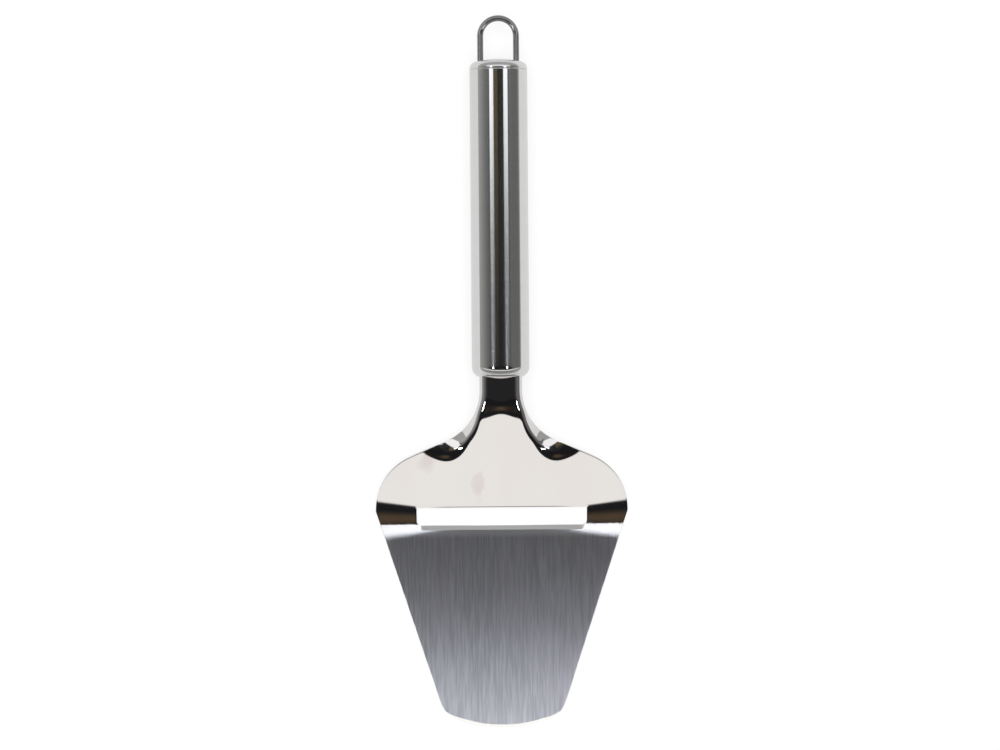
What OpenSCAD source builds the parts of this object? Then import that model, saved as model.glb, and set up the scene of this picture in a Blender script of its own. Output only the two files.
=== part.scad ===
// Cheese slicer: a pressed steel head with a cutting slot, a hollow round handle and a wire hanging loop.
// It lies on its sole: +Y runs from the blade's tip to the loop, and z = 0 is the blade's underside.

/* [Blade] */
// Thickness of the pressed sheet
sheet = 1; // [0.8:0.1:1.4]
// Width of the head at its widest line
head_width = 83.4; // [76:0.2:90]
// Distance from the tip to the cutting edge
blade_len = 67; // [60:0.5:74]
// Inward slant of each long side, in degrees
blade_taper = 18.3; // [15:0.1:20]
// Radius of the rounded tip
tip_radius = 43; // [36:0.5:60]
// Radius between the tip and each long side
tip_corner = 9.5; // [6:0.5:12]

/* [Cutting slot] */
// Width of the slot
slot_width = 56.4; // [48:0.2:62]
// Opening between the cutting edge and the shoulder
slot_gap = 6.1; // [5.6:0.1:8]
// Radius at the two ends of the cutting edge
slot_corner = 1.6; // [0.8:0.1:2.4]
// Length of the bevel ground behind the cutting edge
bevel_len = 1.4; // [0.8:0.1:2.5]
// Thickness left at the cutting edge
edge_land = 0.15; // [0.1:0.05:0.4]
// Distance from the cutting edge to the line where the sheet starts to rise
rise_at = 2.2; // [1.6:0.1:3]
// Half the length of the bend beside the slot
bend_half = 5.8; // [5:0.1:6.5]
// Growth of that half length for each millimetre further out
bend_cone = 0.18; // [0.1:0.01:0.25]

/* [Shoulder and neck] */
// Distance from the cutting edge to the widest line
widest_at = 5.1; // [4:0.1:5.5]
// Radius of the side corner at the widest line
side_corner = 1.3; // [0.8:0.1:3]
// Radius of the round shoulders
shoulder_radius = 19.5; // [16:0.5:22]
// Slant of the straight edge between shoulder and neck, in degrees
shoulder_slant = 24; // [20:1:28]
// Radius of the flare from the neck into the shoulders
flare_radius = 18.3; // [15:0.1:20]
// Width of the neck
neck_width = 14; // [12.6:0.2:14.6]
// Straight neck between the flare and the handle
neck_len = 3.7; // [2:0.1:8]
// Height of the neck's top above the handle's axis
neck_rise = 5.5; // [4.5:0.1:6]
// Radius of the neck's rolled top corners
neck_corner = 2.8; // [2.4:0.1:3.4]
// Depth of the channel under the neck
neck_depth = 6.8; // [6:0.1:7.6]
// Radius of the rolled edge where it fades into the shoulder
fade_radius = 35; // [30:0.5:38]
// Distance from the round shoulder to the line where the rolled edge has run out
fade_start = 1.4; // [1:0.1:2.5]
// Half the length of the bend between shoulder and neck, in its middle
neck_bend = 2.5; // [2:0.1:3.5]
// Growth of that half length towards the neck's edges
neck_bend_edge = 2; // [1:0.1:3]
// Distance from the flare to the middle of that bend
neck_bend_at = 6; // [5:0.1:7]
// Length of the tang inside the handle
tang_len = 25; // [15:1:40]

/* [Handle] */
// Outside diameter of the handle
handle_d = 19; // [18:0.5:22]
// Length of the handle shell, from its front rim to the cap's seam
handle_len = 101.5; // [80:0.5:120]
// Wall of the handle shell
handle_wall = 0.6; // [0.5:0.1:0.8]
// Radius of the shell's rounded front edge
front_edge = 3.6; // [2.5:0.1:4]
// Height of the dome on the shell's front
front_crown = 1; // [0.6:0.1:1.3]
// Gap between the tang and its slit in the shell
tang_clearance = 0.1; // [0.05:0.05:0.2]

/* [End cap] */
// Wall of the cap's plug
cap_wall = 0.8; // [0.6:0.1:1]
// Thickness of the cap's face at its middle
cap_face = 1.8; // [1.6:0.1:2.2]
// Chamfer inside the cap, between its face and its plug
cap_chamfer = 0.4; // [0.2:0.1:0.5]
// Radius of the cap's rounded edge
cap_edge = 2.3; // [2:0.1:2.6]
// Height of the dome on the cap
cap_crown = 0.8; // [0.5:0.1:1.5]
// Straight band between the cap's rounded edge and its seam
cap_band = 0.4; // [0.3:0.1:2]
// Length of the plug that holds the cap in the shell
plug_len = 5; // [3:0.5:10]
// Gap between the plug and the shell
plug_clearance = 0.05; // [0.02:0.01:0.1]
// Chamfer on both sides of the seam
seam_chamfer = 0.25; // [0.1:0.05:0.35]

/* [Hanging loop] */
// Diameter of the loop's wire
wire_d = 2; // [1.6:0.1:2.4]
// Distance of each leg's axis from the handle's side
leg_inset = 3.6; // [3.5:0.1:4.5]
// Height of the loop above the cap's rim
loop_height = 15.3; // [12:0.1:30]
// Gap between each leg and its hole
leg_clearance = 0.05; // [0.03:0.01:0.1]
// Length of each leg inside the cap
leg_tail = 2.5; // [2:0.1:4]

/* [Welds] */
// Radius of the tack welds that hold the tang
tack_radius = 1.5; // [1:0.1:1.8]
// Foot of the weld around each leg of the loop, beyond the wire
leg_weld = 0.7; // [0.5:0.1:0.9]
// Top of that weld, beyond the wire
leg_weld_top = 0.25; // [0.15:0.05:0.4]
// Height of the weld around each leg
leg_weld_height = 1.4; // [0.8:0.1:1.8]
// Seam left between a weld and the pieces that it joins
weld_seam = 0.02; // [0.01:0.01:0.05]

/* [Hidden] */
$fn = 96;

// Colours of the steel: polished, satin, bright wire and bare weld
polished = [0.86, 0.86, 0.85];
satin = [0.74, 0.74, 0.73];
wire_grey = [0.6, 0.6, 0.6];
weld_grey = [0.5, 0.48, 0.46];

// Small step for slopes, and how far a cut runs past the face that it opens
tiny = 0.01;
past = 1;

// Flat left on the tip's arc, so that the first row of the head has a width
tip_flat = 0.05;
// Flat strip between the head's middle and its rolled edge
roll_lead = 1.2;
// Breadth that the rolled edge grows to in the shoulder, as a share of its radius there
roll_share = 0.2;
// How late the rolled edge turns down on its way to the neck
roll_power = 1.5;
// Shortest bend, in the middle of the slot
bend_least = 1.2;

// Cells across the middle of the head and across each edge
mid_cells = 10;
edge_cells = 12;
// Rows of cells along each stretch of the head
tip_rows = 5;
corner_rows = 8;
bend_rows = 3;
slot_corner_rows = 3;
slot_rows = 2;
shoulder_rows = 12;
slant_rows = 6;
flare_rows = 18;
// Steps along the domes and the rounded edges of the handle's two ends
dome_steps = 4;
edge_steps = 10;

// Stations along the head, measured from the tip
widest = blade_len + widest_at;
slot_top = blade_len + slot_gap;
rise_line = blade_len + rise_at;
half_head = head_width / 2;
half_neck = neck_width / 2;
half_slot = slot_width / 2;
taper_top = widest - side_corner * sin(blade_taper);
taper_top_half = half_head - side_corner * (1 - cos(blade_taper));
shoulder_top = widest + shoulder_radius * cos(shoulder_slant);
shoulder_top_half = half_head - shoulder_radius * (1 - sin(shoulder_slant));
arcs_sum = shoulder_radius + flare_radius;
slant_run = half_head - half_neck - arcs_sum * (1 - sin(shoulder_slant));
flare_at = widest + arcs_sum * cos(shoulder_slant) + slant_run * tan(shoulder_slant);
flare_low = flare_at - flare_radius * cos(shoulder_slant);
bend_most = bend_half + bend_cone * (half_head - half_slot);
bend_low = rise_line - bend_most;
fade_line = shoulder_top + fade_start;
neck_zone = neck_corner + roll_lead;
edge_zone = fade_radius * roll_share + roll_lead;
handle_at = flare_at + neck_len;
tang_end = handle_at + tang_len;
seam_at = handle_at + handle_len;

// Heights: the handle lies on the same plane as the blade
axis_z = handle_d / 2;
crown_z = axis_z + neck_rise;
neck_line = flare_at - neck_bend_at;
rise_slope = (crown_z - sheet) / (neck_line - rise_line);

// Centre of the tip's corner arc, which touches the long side and the tip's arc
taper_slope = tan(blade_taper);
tip_centre = tip_radius - tip_flat;
corner_line = taper_top_half - taper_slope * taper_top - tip_corner / cos(blade_taper);
corner_a = 1 + taper_slope * taper_slope;
corner_b = 2 * (corner_line * taper_slope - tip_centre);
corner_c = corner_line * corner_line + tip_centre * tip_centre - pow(tip_radius - tip_corner, 2);
corner_s = (-corner_b - sqrt(corner_b * corner_b - 4 * corner_a * corner_c)) / (2 * corner_a);
corner_x = corner_line + taper_slope * corner_s;
corner_start = atan2(corner_s - tip_centre, corner_x);
tip_join_half = tip_radius * cos(corner_start);
tip_join = tip_centre + tip_radius * sin(corner_start);
taper_low = corner_s - tip_corner * sin(blade_taper);

// Rounded, domed ends of the handle: [flat radius, dome radius, dome centre, edge centre]
function domed_end(radius, edge, crown) =
    let (flat = radius - edge)
    let (dome = (flat * flat + crown * crown) / (2 * crown))
    [flat, dome, dome - crown, dome - crown - sqrt(pow(dome - edge, 2) - flat * flat)];

// Depth of a domed end's face below its rim plane at a given radius, for a skin inset by the wall
function domed_depth(end, edge, inset, radius) =
    radius > end[0]
    ? end[3] - sqrt(pow(edge - inset, 2) - pow(radius - end[0], 2))
    : end[2] - sqrt(pow(end[1] - inset, 2) - radius * radius);

// Points of a domed end's skin, from its middle over the rounded edge to its side
function domed_arc(end, edge, inset) =
    let (join = atan2(end[3] - end[2], end[0]))
    concat(
        [for (i = [0:dome_steps - 1])
            let (a = -90 + (90 + join) * i / dome_steps)
                [0, end[2]] + (end[1] - inset) * [cos(a), sin(a)]],
        [for (i = [0:edge_steps])
            let (a = join * (1 - i / edge_steps))
                [end[0], end[3]] + (edge - inset) * [cos(a), sin(a)]]
    );
function reversed(list) = [for (i = [len(list) - 1:-1:0]) list[i]];

front_end = domed_end(handle_d / 2, front_edge, front_crown);
cap_end = domed_end(handle_d / 2, cap_edge, cap_crown);
cap_height = cap_end[3] + cap_band;
cap_rim = seam_at + cap_height;
plug_radius = handle_d / 2 - handle_wall - plug_clearance;
plug_bore = plug_radius - cap_wall;
cap_floor = cap_face - cap_crown;

// The loop's legs and the slicer's whole length
leg_x = handle_d / 2 - leg_inset;
overall = cap_rim + loop_height;
bend_centre = overall - leg_x - wire_d / 2;

// Outline of the head: half of its width at a station
function half_width(s) =
    s < tip_join ? sqrt(max(0, pow(tip_radius, 2) - pow(tip_centre - s, 2)))
    : s < taper_low ? corner_x + sqrt(pow(tip_corner, 2) - pow(s - corner_s, 2))
    : s < taper_top ? taper_top_half - (taper_top - s) * taper_slope
    : s < widest ? half_head - side_corner + sqrt(pow(side_corner, 2) - pow(widest - s, 2))
    : s < shoulder_top ? half_head - shoulder_radius + sqrt(pow(shoulder_radius, 2) - pow(s - widest, 2))
    : s < flare_low ? shoulder_top_half - (s - shoulder_top) / tan(shoulder_slant)
    : s < flare_at ? half_neck + flare_radius - sqrt(pow(flare_radius, 2) - pow(flare_at - s, 2))
    : half_neck;

// Side profile: a ramp that starts with a smooth bend of the given half length
function ramp(d, half) = d < -half ? 0 : d > half ? d : pow(d + half, 2) / (4 * half);
function clamp(t) = min(max(t, 0), 1);
function ease(t) = let (c = clamp(t)) c * c * (3 - 2 * c);
function bend_at(x) = max(bend_least, bend_half + bend_cone * (abs(x) - half_slot));
function neck_bend_half(x) = neck_bend + neck_bend_edge * ease(abs(x) / half_neck);
function face_z(s, x) =
    sheet + rise_slope * (ramp(s - rise_line, bend_at(x)) - ramp(s - neck_line, neck_bend_half(x)));

// Rolled edge of the neck with its flange, which open and run out from the neck to the shoulder
function roll_part(s) = clamp((s - fade_line) / (neck_line - fade_line));
function opening(s) = max(0, 1 - 2 * roll_part(s));
function roll_radius(s) = neck_corner + (fade_radius - neck_corner) * pow(opening(s), 2);
function roll_angle(s) = 90 * pow(sin(90 * roll_part(s)), roll_power);
function flange(s) = (neck_depth - neck_corner) * (1 - pow(opening(s), 3));

// Direction across the outline, outwards, as shares of x and s
function outline_normal(s) =
    let (slope = (half_width(s + tiny) - half_width(s - tiny)) / (2 * tiny))
    [1, -slope] / norm([1, slope]);

// Strip along the head's edge above the slot, which turns square to the outline,
// as [inner point, direction, breadth]
function edge_strip(s) =
    let (turned = ease((s - slot_top) / (shoulder_top - slot_top)))
    let (lean = [1, 0] + turned * (outline_normal(s) - [1, 0]))
    let (direction = lean / norm(lean))
    let (straight = half_width(s) - half_slot)
    let (widened = ease((flare_at - s) / (flare_at - shoulder_top)))
    let (zone = neck_zone + (edge_zone - neck_zone) * widened)
    let (breadth = straight + turned * (zone - straight))
    [[half_width(s), s] - breadth * direction, direction, breadth];

// Offset and drop across that strip, at a part of the way along its section
function roll_at(s, breadth, part) =
    let (r = roll_radius(s), angle = roll_angle(s), arc = r * angle * PI / 180)
    let (lead = breadth - r * sin(angle) - flange(s) * cos(angle))
    let (d = part * (lead + arc + flange(s)))
    let (turn = (d - lead) / r * 180 / PI, more = d - lead - arc)
    d < lead ? [d, 0]
    : more < 0 ? [lead + r * sin(turn), r * (1 - cos(turn))]
    : [lead + r * sin(angle) + more * cos(angle), r * (1 - cos(angle)) + more * sin(angle)];

// Line between the blade's middle and its edges, which runs into the slot's ends
function slot_line(s) =
    let (below = max(0, blade_len + slot_corner - s), straight = half_slot - slot_corner)
    s < blade_len
    ? half_width(s) * straight / half_width(blade_len)
    : straight + sqrt(max(0, pow(slot_corner, 2) - below * below));

// A point of the top face: u runs from -2 to 2, and from -1 to 1 it crosses the head's middle
function blade_point(s, side, a) =
    let (line = slot_line(s))
    let (x = a < 1 ? a * line : line + (a - 1) * (half_width(s) - line))
    [side * x, s, face_z(s, x)];
function shoulder_point(s, side, a) =
    let (strip = edge_strip(s), roll = roll_at(s, strip[2], max(0, a - 1)))
    let (x = min(a, 1) * strip[0][0] + strip[1][0] * roll[0])
    let (station = strip[0][1] + strip[1][1] * roll[0])
    [side * x, station, face_z(station, x) - roll[1]];
function face_point(s, u) =
    s < slot_top ? blade_point(s, sign(u), abs(u)) : shoulder_point(s, sign(u), abs(u));

// The sheet's normal at that point
function face_normal(s, u) =
    let (along = face_point(min(s + tiny, tang_end), u) - face_point(max(s - tiny, 0), u))
    let (across = face_point(s, min(u + tiny, 2)) - face_point(s, max(u - tiny, -2)))
    let (n = cross(across, along))
    n / norm(n);
function under_point(s, u) = face_point(s, u) - sheet * face_normal(s, u);
function bevelled_point(s, u) =
    let (p = face_point(s, u))
    s == blade_len && abs(u) <= 1 ? [p[0], s, under_point(s, u)[2] + edge_land] : p;

// Stations of the head's rows, from the tip to the end of the tang
shoulder_start = asin((slot_top - widest) / shoulder_radius);
corner_top = blade_len + slot_corner;
stations = concat(
    [0],
    [for (i = [1:tip_rows]) tip_centre - sqrt(pow(tip_radius, 2) - pow(tip_join_half * i / tip_rows, 2))],
    [for (i = [1:corner_rows])
        corner_s + tip_corner * sin(corner_start + (-blade_taper - corner_start) * i / corner_rows)],
    [for (i = [0:bend_rows]) bend_low + (blade_len - bevel_len - bend_low) * i / bend_rows],
    [for (i = [0:slot_corner_rows]) blade_len + slot_corner * (1 - cos(90 * i / slot_corner_rows))],
    [for (i = [1:slot_rows]) corner_top + (taper_top - corner_top) * i / slot_rows],
    [widest, slot_top],
    [for (i = [1:shoulder_rows])
        widest + shoulder_radius
            * sin(shoulder_start + (90 - shoulder_slant - shoulder_start) * i / shoulder_rows)],
    [for (i = [1:slant_rows]) shoulder_top + (flare_low - shoulder_top) * i / slant_rows],
    [for (i = [1:flare_rows])
        flare_at - flare_radius * sin((90 - shoulder_slant) * (1 - i / flare_rows))],
    [handle_at, tang_end]
);
lip_row = search(blade_len, stations)[0];
top_row = search(slot_top, stations)[0];
rows = len(stations);
cols = mid_cells + 2 * edge_cells + 1;
function col_u(j) =
    j < edge_cells ? -2 + j / edge_cells
    : j > edge_cells + mid_cells ? 1 + (j - edge_cells - mid_cells) / edge_cells
    : -1 + 2 * (j - edge_cells) / mid_cells;
function in_slot(i, j) = i >= lip_row && i < top_row && j >= edge_cells && j < edge_cells + mid_cells;

// One sheet lofted through its rows, with the slot left out and walls along every edge
module slicer_head() {
    under = rows * cols;
    points = concat(
        [for (s = stations) for (j = [0:cols - 1]) bevelled_point(s, col_u(j))],
        [for (s = stations) for (j = [0:cols - 1]) under_point(s, col_u(j))]
    );
    cells = [for (i = [0:rows - 2]) for (j = [0:cols - 2]) if (!in_slot(i, j)) i * cols + j];
    // Edges of the sheet as pairs of points, with the steel on the left seen from above
    tip_edge = [for (j = [0:cols - 2]) [j, j + 1]];
    tang_edge = [for (j = [0:cols - 2]) [(rows - 1) * cols + j + 1, (rows - 1) * cols + j]];
    left_edge = [for (i = [0:rows - 2]) [(i + 1) * cols, i * cols]];
    right_edge = [for (i = [0:rows - 2]) [(i + 1) * cols - 1, (i + 2) * cols - 1]];
    slot_left = edge_cells;
    slot_right = edge_cells + mid_cells;
    lip_edge = [for (j = [slot_left:slot_right - 1]) [lip_row * cols + j + 1, lip_row * cols + j]];
    top_edge = [for (j = [slot_left:slot_right - 1]) [top_row * cols + j, top_row * cols + j + 1]];
    slot_sides = [for (i = [lip_row:top_row - 1]) each [
        [i * cols + slot_left, (i + 1) * cols + slot_left],
        [(i + 1) * cols + slot_right, i * cols + slot_right]
    ]];
    edges = concat(tip_edge, tang_edge, left_edge, right_edge, lip_edge, top_edge, slot_sides);
    faces = concat(
        [for (c = cells) each [[c, c + cols, c + cols + 1], [c, c + cols + 1, c + 1]]],
        [for (c = cells) each [
            [under + c, under + c + cols + 1, under + c + cols],
            [under + c, under + c + 1, under + c + cols + 1]
        ]],
        [for (e = edges) each [[e[0], e[1], under + e[1]], [e[0], under + e[1], under + e[0]]]]
    );
    color(polished)
        translate([0, -overall / 2, 0])
            polyhedron(points, faces, convexity = 6);
}

// Frames on the handle's axis: from the shell's front rim backwards, and from the cap's rim forwards
module on_front() {
    translate([0, handle_at - overall / 2, axis_z])
        rotate([-90, 0, 0])
            children();
}
module on_cap() {
    translate([0, cap_rim - overall / 2, axis_z])
        rotate([90, 0, 0])
            children();
}

// Section of the neck's channel, filled, grown by a margin and open downwards as far as asked
module neck_section(margin, bottom) {
    half = half_neck + margin;
    top = neck_rise + margin;
    corner = neck_corner + margin;
    translate([-half, bottom])
        square([2 * half, top - corner - bottom]);
    translate([corner - half, bottom])
        square([2 * (half - corner), top - bottom]);
    for (side = [-1, 1])
        translate([side * (half - corner), top - corner])
            circle(corner);
}

// The neck's section drawn out along the handle, from ahead of the front dome into the shell
module neck_bar(margin, bottom, depth) {
    translate([0, handle_at + depth - overall / 2, axis_z])
        rotate([90, 0, 0])
            linear_extrude(depth + front_crown + past)
                neck_section(margin, bottom);
}

// Slit for the tang: the channel's outline, with a tongue of the shell's front left inside it
module tang_slit() {
    difference() {
        neck_bar(tang_clearance, neck_rise - neck_depth - tang_clearance, front_edge);
        neck_bar(-sheet - tang_clearance, -handle_d / 2, front_edge + past);
    }
}

// Room inside a domed end, up to the given height
module domed_room(end, edge, inset, height) {
    skin = domed_arc(end, edge, inset);
    rotate_extrude()
        polygon(concat(skin, [[end[0] + edge - inset, height], [0, height]]));
}

// Drawn shell: a tube with a closed, rounded front and a chamfered open end
module handle_shell() {
    rim = handle_d / 2;
    seam = [
        [rim, handle_len - seam_chamfer],
        [rim - seam_chamfer, handle_len],
        [rim - handle_wall, handle_len]
    ];
    outside = domed_arc(front_end, front_edge, 0);
    inside = reversed(domed_arc(front_end, front_edge, handle_wall));
    color(satin)
        difference() {
            on_front()
                rotate_extrude()
                    polygon(concat(outside, seam, inside));
            tang_slit();
        }
}

// Turned cap: a domed face with a plug inside the shell and two holes for the loop
module end_cap() {
    rim = handle_d / 2;
    plug_end = cap_height + plug_len;
    seam = [
        [rim, cap_height - seam_chamfer],
        [rim - seam_chamfer, cap_height],
        [plug_radius, cap_height],
        [plug_radius, plug_end]
    ];
    outside = domed_arc(cap_end, cap_edge, 0);
    inside = [
        [plug_bore, plug_end],
        [plug_bore, cap_floor + cap_chamfer],
        [plug_bore - cap_chamfer, cap_floor],
        [0, cap_floor]
    ];
    color(satin)
        on_cap()
            difference() {
                rotate_extrude()
                    polygon(concat(outside, seam, inside));
                for (side = [-1, 1])
                    translate([side * leg_x, 0, -cap_crown - past])
                        cylinder(r = wire_d / 2 + leg_clearance, h = cap_face + 2 * past);
            }
}

// Bent wire: half a ring and two straight legs that end inside the cap
module hanging_loop() {
    leg_len = bend_centre - cap_rim + cap_floor + leg_tail;
    color(wire_grey)
        translate([0, bend_centre - overall / 2, axis_z]) {
            rotate_extrude(angle = 180)
                translate([leg_x, 0])
                    circle(wire_d / 2);
            for (side = [-1, 1])
                translate([side * leg_x, 0, 0])
                    rotate([90, 0, 0])
                        cylinder(r = wire_d / 2, h = leg_len);
        }
}

// Tack welds inside the shell's front, one on the tang's top and one on each of its sides
module tang_welds() {
    side_drop = (neck_depth - neck_corner) / 2;
    side_z = neck_rise - neck_corner - side_drop;
    seats = [[0, neck_rise], [-half_neck, side_z], [half_neck, side_z]];
    color(weld_grey)
        difference() {
            intersection() {
                for (seat = seats) {
                    depth = domed_depth(front_end, front_edge, handle_wall, norm(seat));
                    on_front()
                        translate([seat[0], -seat[1], depth])
                            sphere(tack_radius);
                }
                on_front()
                    domed_room(front_end, front_edge, handle_wall + weld_seam, tang_len);
            }
            neck_bar(weld_seam, -handle_d / 2, tang_len);
        }
}

// Ring welds inside the cap, one around each leg of the loop
module loop_welds() {
    bore = wire_d / 2 + weld_seam;
    room = plug_bore - cap_chamfer - leg_x;
    foot = min(wire_d / 2 + leg_weld, room);
    top = wire_d / 2 + leg_weld_top;
    low = cap_floor + weld_seam;
    high = cap_floor + leg_weld_height;
    color(weld_grey)
        on_cap()
            for (side = [-1, 1])
                translate([side * leg_x, 0, 0])
                    rotate_extrude()
                        polygon([[bore, low], [foot, low], [top, high], [bore, high]]);
}

slicer_head();
handle_shell();
end_cap();
hanging_loop();
tang_welds();
loop_welds();
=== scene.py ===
"""Looks of a cheese slicer: fine meshes for its head, handle, cap and loop, in polished and brushed steel."""

import math

import bpy
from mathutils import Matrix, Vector


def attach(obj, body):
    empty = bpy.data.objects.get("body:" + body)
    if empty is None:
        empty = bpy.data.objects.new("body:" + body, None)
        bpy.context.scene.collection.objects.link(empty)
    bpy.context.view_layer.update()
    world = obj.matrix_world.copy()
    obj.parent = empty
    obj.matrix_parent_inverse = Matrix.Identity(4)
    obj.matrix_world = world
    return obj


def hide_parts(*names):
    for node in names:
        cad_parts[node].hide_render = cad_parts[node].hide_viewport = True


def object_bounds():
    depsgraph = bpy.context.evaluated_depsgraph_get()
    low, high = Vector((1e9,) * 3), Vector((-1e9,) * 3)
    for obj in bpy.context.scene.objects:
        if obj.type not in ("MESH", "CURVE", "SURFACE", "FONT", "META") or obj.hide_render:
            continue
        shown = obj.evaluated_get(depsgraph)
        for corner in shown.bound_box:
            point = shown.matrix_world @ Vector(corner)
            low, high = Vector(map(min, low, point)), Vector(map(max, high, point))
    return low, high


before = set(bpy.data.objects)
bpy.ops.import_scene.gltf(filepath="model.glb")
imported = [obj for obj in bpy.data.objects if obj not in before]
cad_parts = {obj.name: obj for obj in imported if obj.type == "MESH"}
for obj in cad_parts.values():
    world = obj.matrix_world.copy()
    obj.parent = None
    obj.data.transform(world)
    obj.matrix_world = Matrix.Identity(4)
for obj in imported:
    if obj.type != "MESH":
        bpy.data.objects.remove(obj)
cad_low, cad_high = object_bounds()

MM = 0.001
ROOT = "root"

# Sizes of the head in millimetres, the same as the solid's. Stations s run from the blade's tip.
SHEET = 1.0
HALF_HEAD = 41.7
BLADE_LEN = 67.0
BLADE_TAPER = math.radians(18.3)
TIP_RADIUS = 43.0
TIP_CORNER = 9.5
TIP_FLAT = 0.05
HALF_SLOT = 28.2
SLOT_GAP = 6.1
SLOT_CORNER = 1.6
BEVEL_LEN = 1.4
EDGE_LAND = 0.15
RISE_AT = 2.2
BEND_HALF = 5.8
BEND_CONE = 0.18
BEND_LEAST = 1.2
WIDEST_AT = 5.1
SIDE_CORNER = 1.3
SHOULDER_RADIUS = 19.5
SHOULDER_SLANT = math.radians(24)
FLARE_RADIUS = 18.3
HALF_NECK = 7.0
NECK_LEN = 3.7
NECK_RISE = 5.5
NECK_CORNER = 2.8
NECK_DEPTH = 6.8
FADE_RADIUS = 35.0
FADE_START = 1.4
EDGE_ZONE = 8.2
ROLL_POWER = 1.5
NECK_BEND = 2.5
NECK_BEND_EDGE = 2.0
NECK_BEND_AT = 6.0
TANG_LEN = 25.0
ROLL_LEAD = 1.2

# Sizes of the handle, the cap and the loop in millimetres
HANDLE_RADIUS = 9.498
AXIS_Z = 9.5
HANDLE_LEN = 101.5
HANDLE_WALL = 0.6
FRONT_EDGE = 3.6
FRONT_CROWN = 1.0
CAP_EDGE = 2.3
CAP_CROWN = 0.8
CAP_BAND = 0.4
CAP_FACE = 1.8
CAP_WALL = 0.8
PLUG_LEN = 5.0
PLUG_CLEARANCE = 0.05
SEAM_CHAMFER = 0.25
WIRE_RADIUS = 1.0
LEG_INSET = 3.6
LEG_TAIL = 2.5

# Rounding that tumbling leaves on the sheet's rim and on the slot, and the bevel ground on the tip
EDGE_ROUND = 0.03
SLOT_ROUND = 0.04
LIP_ROUND = 0.03
TIP_BEVEL = 1.1
TIP_BEVEL_SLOPE = math.tan(math.radians(19.5))
TIP_BEVEL_FADE = 2.6
TIP_BEVEL_END = 6.2

# Height of the faint crown that pressing leaves along the blade
CAMBER = 0.22

# Derived stations and heights
WIDEST = BLADE_LEN + WIDEST_AT
SLOT_TOP = BLADE_LEN + SLOT_GAP + SLOT_ROUND
SLOT_HALF = HALF_SLOT + SLOT_ROUND
RISE_LINE = BLADE_LEN + RISE_AT
TAPER_SLOPE = math.tan(BLADE_TAPER)
TAPER_TOP = WIDEST - SIDE_CORNER * math.sin(BLADE_TAPER)
TAPER_TOP_HALF = HALF_HEAD - SIDE_CORNER * (1 - math.cos(BLADE_TAPER))
SHOULDER_TOP = WIDEST + SHOULDER_RADIUS * math.cos(SHOULDER_SLANT)
SHOULDER_TOP_HALF = HALF_HEAD - SHOULDER_RADIUS * (1 - math.sin(SHOULDER_SLANT))
ARCS_SUM = SHOULDER_RADIUS + FLARE_RADIUS
SLANT_RUN = HALF_HEAD - HALF_NECK - ARCS_SUM * (1 - math.sin(SHOULDER_SLANT))
FLARE_AT = WIDEST + ARCS_SUM * math.cos(SHOULDER_SLANT) + SLANT_RUN * math.tan(SHOULDER_SLANT)
BEND_MOST = BEND_HALF + BEND_CONE * (HALF_HEAD - HALF_SLOT)
HANDLE_AT = FLARE_AT + NECK_LEN
TANG_END = HANDLE_AT + TANG_LEN
SEAM_AT = HANDLE_AT + HANDLE_LEN
CROWN_Z = AXIS_Z + NECK_RISE
NECK_LINE = FLARE_AT - NECK_BEND_AT
RISE_SLOPE = (CROWN_Z - SHEET) / (NECK_LINE - RISE_LINE)
LENGTH = (cad_high.y - cad_low.y) / MM

# Arc between the tip and each long side
TIP_CENTRE = TIP_RADIUS - TIP_FLAT
CORNER_LINE = TAPER_TOP_HALF - TAPER_SLOPE * TAPER_TOP - TIP_CORNER / math.cos(BLADE_TAPER)
CORNER_A = 1 + TAPER_SLOPE ** 2
CORNER_B = 2 * (CORNER_LINE * TAPER_SLOPE - TIP_CENTRE)
CORNER_C = CORNER_LINE ** 2 + TIP_CENTRE ** 2 - (TIP_RADIUS - TIP_CORNER) ** 2
CORNER_S = (-CORNER_B - math.sqrt(CORNER_B ** 2 - 4 * CORNER_A * CORNER_C)) / (2 * CORNER_A)
CORNER_X = CORNER_LINE + TAPER_SLOPE * CORNER_S
CORNER_START = math.atan2(CORNER_S - TIP_CENTRE, CORNER_X)


def circle_x(radius, away):
    """Width of a circle at a distance from its middle line."""
    return math.sqrt(max(0.0, radius * radius - away * away))


def half_width(s, inset=0.0):
    """Half of the head's width at a station, with the outline moved inwards by the inset."""
    if s < TIP_CENTRE + (TIP_RADIUS - inset) * math.sin(CORNER_START):
        return circle_x(TIP_RADIUS - inset, TIP_CENTRE - s)
    if s < CORNER_S - (TIP_CORNER - inset) * math.sin(BLADE_TAPER):
        return CORNER_X + circle_x(TIP_CORNER - inset, s - CORNER_S)
    if s < WIDEST - (SIDE_CORNER - inset) * math.sin(BLADE_TAPER):
        return TAPER_TOP_HALF - (TAPER_TOP - s) * TAPER_SLOPE - inset / math.cos(BLADE_TAPER)
    if s < WIDEST:
        return HALF_HEAD - SIDE_CORNER + circle_x(SIDE_CORNER - inset, WIDEST - s)
    if s < WIDEST + (SHOULDER_RADIUS - inset) * math.cos(SHOULDER_SLANT):
        return HALF_HEAD - SHOULDER_RADIUS + circle_x(SHOULDER_RADIUS - inset, s - WIDEST)
    if s < FLARE_AT - (FLARE_RADIUS + inset) * math.cos(SHOULDER_SLANT):
        slanted = SHOULDER_TOP_HALF - (s - SHOULDER_TOP) / math.tan(SHOULDER_SLANT)
        return slanted - inset / math.sin(SHOULDER_SLANT)
    if s < FLARE_AT:
        return HALF_NECK + FLARE_RADIUS - circle_x(FLARE_RADIUS + inset, FLARE_AT - s)
    return HALF_NECK - inset


def clamp(t):
    return min(max(t, 0.0), 1.0)


def ease(t):
    c = clamp(t)
    return c * c * (3 - 2 * c)


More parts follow.
